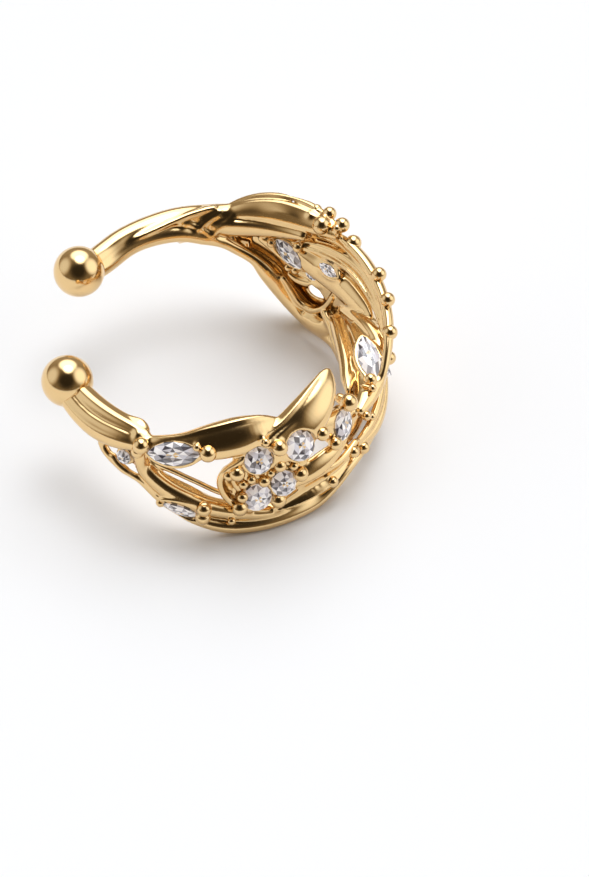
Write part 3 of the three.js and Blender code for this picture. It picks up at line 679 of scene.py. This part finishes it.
# The first row is the dark side, where the room's own light goes down to the row's. The rest are lights added
# to it. Columns: azimuth, elevation, how far out it is full, how far out it ends, light.
SOFT_LIGHTS = [
    (CAMERA_AZIMUTH, CAMERA_ELEVATION, 18, 52, 0.03),
    (150, 80, 8, 24, 3.15),
    (180, 58, 18, 36, 2.2),
    (-88, 25, 10, 40, 0.65),
    (92, 30, 12, 40, 1.2),
    (180, 10, 20, 70, 0.18),
]


# ---------------------------------------------------------------- places and members

def on_ring(angle, radius, height):
    a = math.radians(angle)
    return np.array((radius * math.cos(a), radius * math.sin(a), height))


def unit(v):
    return v / np.linalg.norm(v)


def face_and_width(angle, along, tilt):
    """Unit vectors out of a member's broad face and along its width."""
    out = on_ring(angle, 1, 0)
    out = unit(out - out.dot(along) * along)
    up = np.cross(out, along)
    t = math.radians(tilt)
    return out * math.cos(t) + up * math.sin(t), up * math.cos(t) - out * math.sin(t)


def smooth_rows(rows):
    """Rows of a table with more between them, on a curve through them all."""
    rows = np.array(rows, float)
    if rows[0][0] > rows[-1][0]:
        rows = rows[::-1]
    padded = np.vstack([2 * rows[0] - rows[1], rows, 2 * rows[-1] - rows[-2]])
    made = []
    for i in range(len(rows) - 1):
        before, start, end, after = padded[i:i + 4]
        length = np.linalg.norm(on_ring(*end[:3]) - on_ring(*start[:3]))
        count = max(2, math.ceil(length / SPAN))
        for k in range(count):
            t = k / count
            made.append(0.5 * (2 * start + (end - before) * t
                               + (2 * before - 5 * start + 4 * end - after) * t ** 2
                               + (3 * start - before - 3 * end + after) * t ** 3))
    made.append(rows[-1])
    return made


def sections(rows):
    """Sections of a member: centre, width and face vectors, half width, half thickness."""
    dense = smooth_rows(rows)
    centres = [on_ring(*row[:3]) for row in dense]
    made = []
    for i, row in enumerate(dense):
        along = unit(centres[min(i + 1, len(dense) - 1)] - centres[max(i - 1, 0)])
        face, width = face_and_width(row[0], along, row[5])
        made.append((centres[i], width, face, max(row[3], THINNEST), max(row[4], THINNEST)))
    return made


# ---------------------------------------------------------------- the grid of distances

class Metal:
    """Distances to the surface of all the metal, less than nothing inside."""

    def __init__(self):
        self.low = np.array(GRID_LOW)
        shape = np.ceil((np.array(GRID_HIGH) - self.low) / STEP).astype(int) + 1
        self.values = np.full(shape, FAR, np.float32)
        self.axes = [(low + STEP * np.arange(n)).astype(np.float32) for low, n in zip(self.low, shape)]

    def window(self, low, high):
        first = np.maximum(np.floor((low - self.low) / STEP).astype(int), 0)
        last = np.minimum(np.ceil((high - self.low) / STEP).astype(int) + 1, self.values.shape)
        return tuple(slice(a, max(b, a)) for a, b in zip(first, last))

    def places(self, window):
        x, y, z = (axis[part] for axis, part in zip(self.axes, window))
        return x[:, None, None], y[None, :, None], z[None, None, :]

    def join(self, window, distance, fillet):
        """Adds a body, with a fillet where it meets what is there."""
        old = self.values[window]
        near = np.maximum(fillet - np.abs(old - distance), 0) / fillet
        self.values[window] = np.minimum(old, distance) - near * near * (fillet / 4)

    def soften(self):
        """Takes the creases between sections off, by one step of blur along each axis."""
        for axis in range(3):
            v = np.moveaxis(self.values, axis, 0)
            v[1:-1] = (v[:-2] + 2 * v[1:-1] + v[2:]) / 4

    def cut(self, window, distance):
        self.values[window] = np.maximum(self.values[window], -distance)


def bump_across(share, ridges):
    """How much thicker a member is at a share of its half width, from ridges of (place, width, rise)."""
    rise = np.ones_like(share)
    for place, width, height in ridges:
        rise = rise + height * np.exp(-((share - place) / width) ** 2)
    return rise


def segment_distance(x, y, z, start, end, ridges):
    """Distance to the stretch of a member between two sections."""
    c0, w0, f0, a0, b0 = start
    c1, w1, f1, a1, b1 = end
    d = c1 - c0
    px, py, pz = x - c0[0], y - c0[1], z - c0[2]
    t = np.clip((px * d[0] + py * d[1] + pz * d[2]) / d.dot(d), 0, 1)
    px, py, pz = px - t * d[0], py - t * d[1], pz - t * d[2]
    dw, df = w1 - w0, f1 - f0
    u = px * (w0[0] + t * dw[0]) + py * (w0[1] + t * dw[1]) + pz * (w0[2] + t * dw[2])
    v = px * (f0[0] + t * df[0]) + py * (f0[1] + t * df[1]) + pz * (f0[2] + t * df[2])
    a = a0 + t * (a1 - a0)
    b = b0 + t * (b1 - b0)
    if ridges:
        b = b * np.where(v > 0, bump_across(u / a, ridges), 1)
    c = np.minimum(a, b)
    w2 = np.maximum(px * px + py * py + pz * pz - u * u - v * v, 0)
    k1 = np.sqrt((u / a) ** 2 + (v / b) ** 2 + w2 / c ** 2)
    k2 = np.sqrt((u / a ** 2) ** 2 + (v / b ** 2) ** 2 + w2 / c ** 4)
    return k1 * (k1 - 1) / np.maximum(k2, 1e-3)


def add_member(metal, rows, ridges, fillet):
    made = sections(rows)
    centres = np.array([s[0] for s in made])
    reach = max(max(s[3], s[4]) for s in made) + MARGIN
    whole = metal.window(centres.min(axis=0) - reach, centres.max(axis=0) + reach)
    distance = np.full([s.stop - s.start for s in whole], FAR, np.float32)
    for start, end in zip(made, made[1:]):
        near = [np.hypot(s[1] * s[3], s[2] * s[4]) + MARGIN for s in (start, end)]
        low = np.minimum(start[0] - near[0], end[0] - near[1])
        high = np.maximum(start[0] + near[0], end[0] + near[1])
        window = metal.window(low, high)
        inner = tuple(slice(w.start - o.start, w.stop - o.start) for w, o in zip(window, whole))
        if any(s.stop <= s.start for s in window):
            continue
        part = segment_distance(*metal.places(window), start, end, ridges)
        distance[inner] = np.minimum(distance[inner], part)
    metal.join(whole, distance, fillet)


# ---------------------------------------------------------------- stones

def seat_frame(stone):
    """A stone's centre, and the directions of its length, its width and its table."""
    _, angle, radius, height, _, _, tilt, yaw, pitch = stone
    along = np.cross((0, 0, 1), on_ring(angle, 1, 0))
    face, width = face_and_width(angle, along, tilt)
    y, p = math.radians(yaw), math.radians(pitch)
    level = along * math.cos(y) + width * math.sin(y)
    long = level * math.cos(p) + face * math.sin(p)
    table = face * math.cos(p) - level * math.sin(p)
    return on_ring(angle, radius, height), long, np.cross(table, long), table


def is_pointed(length, width):
    return length > POINTED * width


def outline_share(x, y, length, width):
    """How far out a point lies, as a share of the stone's outline."""
    power = 4 / 3 if is_pointed(length, width) else 2
    return np.sqrt((2 * x / length) ** 2 + np.abs(2 * y / width) ** power)


def seat_places(metal, stone, reach):
    centre, long, wide, table = seat_frame(stone)
    window = metal.window(centre - reach, centre + reach)
    x, y, z = metal.places(window)
    px, py, pz = x - centre[0], y - centre[1], z - centre[2]
    return window, [px * d[0] + py * d[1] + pz * d[2] for d in (long, wide, table)]


def add_cup(metal, stone):
    """The collar of metal that a stone's lower half sits in."""
    length, width = stone[4:6]
    window, (x, y, z) = seat_places(metal, stone, length / 2 + 2 * MARGIN)
    out = (outline_share(x, y, length, width) - 1) * width / 2 - CUP_WALL
    metal.join(window, np.maximum(np.maximum(out, z - CUP_TOP), -z - CUP_DEPTH), FILLET / 2)


def add_peg(metal, row):
    """The short prong that roots a grain."""
    angle, radius, height, size, reach = row
    head = on_ring(angle, radius, height)
    foot = on_ring(angle, radius + reach, height)
    thick = size * PEG_SHARE
    window = metal.window(np.minimum(head, foot) - thick - MARGIN, np.maximum(head, foot) + thick + MARGIN)
    x, y, z = metal.places(window)
    px, py, pz = x - foot[0], y - foot[1], z - foot[2]
    d = head - foot
    t = np.clip((px * d[0] + py * d[1]) / d.dot(d), 0, 1)
    metal.join(window, np.sqrt((px - t * d[0]) ** 2 + (py - t * d[1]) ** 2 + pz ** 2) - thick, FILLET)


def cut_seat(metal, stone):
    """Cuts the hollow that a stone lies in, and clears the metal over it."""
    length, width = stone[4:6]
    window, (x, y, z) = seat_places(metal, stone, length / 2 + 4 * MARGIN)
    depth = PAVILION_SHARE * width
    share = np.clip(1 + z / depth, SEAT_TIP, 1)
    out = (outline_share(x, y, length, width) - share) * width / 2 - STONE_GAP
    distance = np.maximum(np.maximum(out, z - SEAT_CLEAR), -z - depth)
    metal.cut(window, distance)


def cut_window(metal, row):
    """Cuts an oval passage through the wall."""
    angle, radius, height, length, width, slant, heading, fall = row
    centre = on_ring(angle, radius, height)
    h, f, a = math.radians(heading), math.radians(fall), math.radians(slant)
    ahead = np.array((math.cos(h) * math.cos(f), math.sin(h) * math.cos(f), -math.sin(f)))
    level = unit(np.cross(ahead, (0, 0, 1)))
    rise = np.cross(level, ahead)
    long = level * math.cos(a) - rise * math.sin(a)
    window = metal.window(centre - WINDOW_REACH, centre + WINDOW_REACH)
    x, y, z = metal.places(window)
    px, py, pz = x - centre[0], y - centre[1], z - centre[2]
    deep, across, tall = (px * d[0] + py * d[1] + pz * d[2] for d in (ahead, long, np.cross(ahead, long)))
    out = (np.hypot(across / length, tall / width) - 1) * width
    metal.cut(window, np.maximum(np.maximum(out, deep - WINDOW_AHEAD), -deep - WINDOW_BEHIND))


def stone_mesh(stone):
    """Places and faces of a stone: a table cut in small facets, a crown, a girdle and a pavilion."""
    length, width = stone[4:6]
    pointed = is_pointed(length, width)
    centre, long, wide, table = seat_frame(stone)
    half = GIRDLE / 2
    crown = CROWN_SHARE * width
    depth = PAVILION_SHARE * width

    def ring(count, share, height, turn):
        made = []
        for i in range(count):
            a = 2 * math.pi * (i + turn) / count
            across = math.sin(a) * (math.sqrt(abs(math.sin(a))) if pointed else 1)
            made.append((share * length / 2 * math.cos(a), share * width / 2 * across, height))
        return made

    rings = [
        [(0, 0, half + crown)],
        ring(8, TABLE_INNER, half + crown, 0.5),
        ring(8, TABLE_EDGE, half + crown, 0),
        ring(8, CROWN_MIDDLE, half + crown * CROWN_MIDDLE_RISE, 0.5),
        ring(16, 1, half, 0),
        ring(16, 1, -half, 0),
        [(0, 0, -half - depth)],
    ]
    # The number of each ring's first corner. The two girdle rings have two corners to the others' one.
    centre_top, inner, edge, middle, upper, lower, tip = (
        int(n) for n in np.cumsum([0] + [len(r) for r in rings])[:-1])
    faces = [(centre_top, inner + i, inner + (i + 1) % 8) for i in range(8)]
    for i in range(8):
        back, on = (i - 1) % 8, (i + 1) % 8
        first, half_on, full_on = 2 * i, 2 * i + 1, (2 * i + 2) % 16
        faces += [
            (inner + i, edge + i, edge + on),
            (inner + i, edge + on, inner + on),
            (edge + i, middle + i, edge + on),
            (edge + i, middle + back, upper + first),
            (edge + i, upper + first, middle + i),
            (middle + i, upper + first, upper + half_on),
            (middle + i, upper + half_on, upper + full_on),
            (upper + first, lower + first, lower + half_on, upper + half_on),
            (upper + half_on, lower + half_on, lower + full_on, upper + full_on),
            (lower + half_on, lower + first, tip),
            (lower + full_on, lower + half_on, tip),
        ]
    points = np.array([p for r in rings for p in r])
    places = centre + points @ np.array([long, wide, table])
    return places, faces


# ---------------------------------------------------------------- meshes

def to_frame(places):
    return (np.asarray(places, float) + RING_AXIS) * MM


def new_object(name, places, faces, material, smooth=True):
    mesh = bpy.data.meshes.new(name)
    mesh.from_pydata([tuple(p) for p in to_frame(places)], [], [tuple(map(int, f)) for f in faces])
    mesh.update()
    mesh.polygons.foreach_set("use_smooth", [smooth] * len(mesh.polygons))
    mesh.materials.append(material)
    piece = bpy.data.objects.new(name, mesh)
    bpy.context.scene.collection.objects.link(piece)
    return piece


def skin_of(metal):
    """The points and four-sided faces of the metal's surface."""
    grid = openvdb.FloatGrid(FAR)
    grid.copyFromArray(metal.values)
    grid.transform = openvdb.createLinearTransform(voxelSize=STEP)
    points, _, quads = grid.convertToPolygons(0.0, 0.0)
    return points + metal.low, quads


def settle(metal, points):
    """Moves points onto the surface and gives the directions out of it there."""
    slopes = np.gradient(metal.values, STEP)
    fields = [metal.values] + list(slopes)
    for _ in range(SETTLE_ROUNDS):
        value, *slope = (at_points(f, metal, points) for f in fields)
        slope = np.stack(slope, axis=1)
        size = np.maximum(np.linalg.norm(slope, axis=1), LEAST_SLOPE)
        points = points - slope * (np.clip(value / size, -STEP / 2, STEP / 2) / size)[:, None]
    slope = np.stack([at_points(f, metal, points) for f in slopes], axis=1)
    return points, slope / np.maximum(np.linalg.norm(slope, axis=1), 1e-6)[:, None]


def at_points(field, metal, points):
    """A field's values at points, straight lines between the grid's."""
    place = (points - metal.low) / STEP
    cell = np.clip(np.floor(place).astype(int), 0, np.array(field.shape) - 2)
    part = place - cell
    total = np.zeros(len(points))
    for corner in np.ndindex(2, 2, 2):
        weight = np.prod(np.where(corner, part, 1 - part), axis=1)
        index = cell + corner
        total += weight * field[index[:, 0], index[:, 1], index[:, 2]]
    return total


def sphere(centre, radius, around, rows):
    bm = bmesh.new()
    bmesh.ops.create_uvsphere(bm, u_segments=around, v_segments=rows, radius=radius)
    places = [np.array(v.co) + centre for v in bm.verts]
    faces = [[v.index for v in f.verts] for f in bm.faces]
    bm.free()
    return np.array(places), faces


def gathered(parts):
    """Several meshes as one."""
    places, faces, first = [], [], 0
    for part_places, part_faces in parts:
        places.append(part_places)
        faces += [[i + first for i in f] for f in part_faces]
        first += len(part_places)
    return np.vstack(places), faces


# ---------------------------------------------------------------- materials

def gold_material():
    made = bpy.data.materials.new("polished_gold")
    made.use_nodes = True
    nodes, links = made.node_tree.nodes, made.node_tree.links
    shader = nodes["Principled BSDF"]
    shader.inputs["Metallic"].default_value = 1.0
    shader.inputs["Base Color"].default_value = GOLD
    place = nodes.new("ShaderNodeTexCoord")
    soft = nodes.new("ShaderNodeTexNoise")
    soft.inputs["Scale"].default_value = GOLD_MOTTLE
    soft.inputs["Detail"].default_value = 3
    rough = nodes.new("ShaderNodeMapRange")
    rough.inputs["To Min"].default_value, rough.inputs["To Max"].default_value = GOLD_ROUGHNESS
    links.new(place.outputs["Object"], soft.inputs["Vector"])
    links.new(soft.outputs["Fac"], rough.inputs["Value"])
    links.new(rough.outputs["Result"], shader.inputs["Roughness"])
    return made


def stone_material():
    """A clear stone whose facets are painted one by one with highlights, shade and a little reflection of the
    gold beneath, and glow faintly in those painted colours.
    """
    made = bpy.data.materials.new("clear_stone")
    made.use_nodes = True
    nodes, links = made.node_tree.nodes, made.node_tree.links
    shader = nodes["Principled BSDF"]
    shader.inputs["Roughness"].default_value = 0.02
    shader.inputs["IOR"].default_value = 1.8
    shader.inputs["Transmission Weight"].default_value = 0.25
    # each face's painted highlight, shade or gold reflection is read from its own tone
    painted_facet_light = nodes.new("ShaderNodeAttribute")
    painted_facet_light.attribute_name = "painted_facet_light"
    ramp = nodes.new("ShaderNodeValToRGB")
    ramp.color_ramp.interpolation = "CONSTANT"
    steps = ramp.color_ramp.elements
    steps.remove(steps[1])
    steps[0].color = (*PAINTED_FACET_COLOURS[0][1:], 1)
    for start, *colour in PAINTED_FACET_COLOURS[1:]:
        steps.new(start).color = (*colour, 1)
    links.new(painted_facet_light.outputs["Fac"], ramp.inputs["Fac"])
    links.new(ramp.outputs["Color"], shader.inputs["Base Color"])
    # Painted glow: the facets give off their painted colours as light.
    links.new(ramp.outputs["Color"], shader.inputs["Emission Color"])
    shader.inputs["Emission Strength"].default_value = STONE_PAINTED_GLOW
    return made


def floor_material():
    made = bpy.data.materials.new("pale_floor")
    made.use_nodes = True
    shader = made.node_tree.nodes["Principled BSDF"]
    shader.inputs["Base Color"].default_value = FLOOR
    shader.inputs["Roughness"].default_value = 0.75
    shader.inputs["Specular IOR Level"].default_value = 0.2
    return made


# ---------------------------------------------------------------- pieces

def cast_metal(gold):
    """The skin of the strands, leaves, cups and pegs, as a near and a far piece."""
    metal = Metal()
    for name, rows in {**STRANDS, **LEAVES}.items():
        add_member(metal, rows, RIDGES.get(name, ()), FILLETS.get(name, FILLET))
    for stone in STONES:
        add_cup(metal, stone)
    for row in GRAINS:
        add_peg(metal, row)
    for row in FINE_GRAINS:
        add_peg(metal, (*row, FINE_REACH if row[1] < WALL_RADIUS else -FINE_REACH))
    for stone in STONES:
        cut_seat(metal, stone)
    for row in WINDOWS:
        cut_window(metal, row)
    whole = (slice(None),) * 3
    metal.cut(whole, metal.places(whole)[2])  # nothing goes below the floor
    metal.soften()
    points, faces = skin_of(metal)
    points, directions = settle(metal, points)
    far = points[faces[:, 0], 1] > 0
    pieces = []
    for name, side in (("cast_metal_near", ~far), ("cast_metal_far", far)):
        used, kept = np.unique(faces[side], return_inverse=True)
        piece = new_object(name, points[used], kept.reshape(-1, 4), gold)
        piece.data.normals_split_custom_set_from_vertices([tuple(d) for d in directions[used]])
        pieces.append(piece)
    return pieces


def grains(gold):
    parts = []
    for angle, radius, height, size, *_ in GRAINS + FINE_GRAINS:
        parts.append(sphere(on_ring(angle, radius, height), size * GRAIN_SWELL, *GRAIN_SIDES))
    places, faces = gathered(parts)
    return new_object("grains", places, faces, gold)


def ball_ends(gold):
    parts = [sphere(on_ring(*place), BALL_RADIUS, *BALL_SIDES) for place in BALL_ENDS]
    return new_object("ball_ends", *gathered(parts), gold)


def floor(material):
    bpy.ops.mesh.primitive_plane_add(size=FLOOR_SIZE, location=(0, 0, 0))
    made = bpy.context.object
    made.name = "floor"
    made.data.materials.append(material)


def camera():
    back = Vector(way(CAMERA_AZIMUTH, CAMERA_ELEVATION))
    turned = (-back).to_track_quat("-Z", "Y")
    right, up = turned @ Vector((1, 0, 0)), turned @ Vector((0, 1, 0))
    target = Vector(CAMERA_TARGET + RING_AXIS)
    place = target + back * CAMERA_DISTANCE + right * CAMERA_RIGHT - up * CAMERA_DOWN
    data = bpy.data.cameras.new("camera")
    data.lens = CAMERA_LENS
    data.sensor_width = 36
    data.clip_start, data.clip_end = 0.01, 10
    made = bpy.data.objects.new("camera", data)
    made.location = place * MM
    made.rotation_mode = "QUATERNION"
    made.rotation_quaternion = turned
    bpy.context.scene.collection.objects.link(made)
    bpy.context.scene.camera = made


def way(azimuth, elevation):
    """The direction at an azimuth (0 is -Y, 90 is +X) and an elevation, in degrees."""
    a, e = math.radians(azimuth), math.radians(elevation)
    return math.sin(a) * math.cos(e), -math.cos(a) * math.cos(e), math.sin(e)


def world():
    """A dim room with one dark side, and soft lights overhead and to the sides."""
    made = bpy.data.worlds.new("room")
    bpy.context.scene.world = made
    made.use_nodes = True
    nodes, links = made.node_tree.nodes, made.node_tree.links
    place = nodes.new("ShaderNodeTexCoord")
    total = None
    for azimuth, elevation, inner, outer, light in SOFT_LIGHTS:
        side = nodes.new("ShaderNodeVectorMath")
        side.operation = "DOT_PRODUCT"
        side.inputs[1].default_value = way(azimuth, elevation)
        links.new(place.outputs["Generated"], side.inputs[0])
        fade = nodes.new("ShaderNodeMapRange")
        fade.interpolation_type = "SMOOTHSTEP"
        fade.inputs["From Min"].default_value = math.cos(math.radians(outer))
        fade.inputs["From Max"].default_value = math.cos(math.radians(inner))
        fade.inputs["To Max"].default_value = light
        links.new(side.outputs["Value"], fade.inputs["Value"])
        if total is None:
            total = fade.outputs["Result"]
            fade.inputs["To Min"].default_value = ROOM_LIGHT
            continue
        both = nodes.new("ShaderNodeMath")
        links.new(total, both.inputs[0])
        links.new(fade.outputs["Result"], both.inputs[1])
        total = both.outputs[0]
    links.new(total, nodes["Background"].inputs["Strength"])
    warmth = nodes.new("ShaderNodeMapRange")
    warmth.inputs["From Min"].default_value = ROOM_LIGHT
    warmth.inputs["From Max"].default_value = FULL_LIGHT
    tint = nodes.new("ShaderNodeMix")
    tint.data_type = "RGBA"
    tint.inputs["A"].default_value = ROOM_TINT
    tint.inputs["B"].default_value = LIGHT_TINT
    links.new(total, warmth.inputs["Value"])
    links.new(warmth.outputs["Result"], tint.inputs["Factor"])
    links.new(tint.outputs["Result"], nodes["Background"].inputs["Color"])


def main():
    gold, clear = gold_material(), stone_material()
    cast = cast_metal(gold)
    for piece in cast + [ball_ends(gold), grains(gold)]:
        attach(piece, "root")
    for piece in cast:
        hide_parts("cuff_body")
    chance = np.random.default_rng(STONE_SEED)
    for stone in STONES + FINE_STONES:
        name = stone[0]
        piece = new_object(name.replace("stone", "gem", 1), *stone_mesh(stone), clear, smooth=False)
        # Each of the stone's faces is painted a random tone of highlight, shade or gold reflection.
        painted_tones = chance.random(len(piece.data.polygons)) * PAINTED_LIGHT_TONE_TOP
        painted_tones[:8:3] = PAINTED_GOLD_REFLECTION_TONE  # every third of the facets round the table's centre gets the painted gold reflection
        painted_facet_light = piece.data.attributes.new("painted_facet_light", "FLOAT", "FACE")
        painted_facet_light.data.foreach_set("value", painted_tones)
        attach(piece, "root")
        if name in frame["nodes"]:
            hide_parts(name)
    floor(floor_material())
    world()
    camera()
    bpy.context.scene.view_settings.view_transform = "Standard"


main()
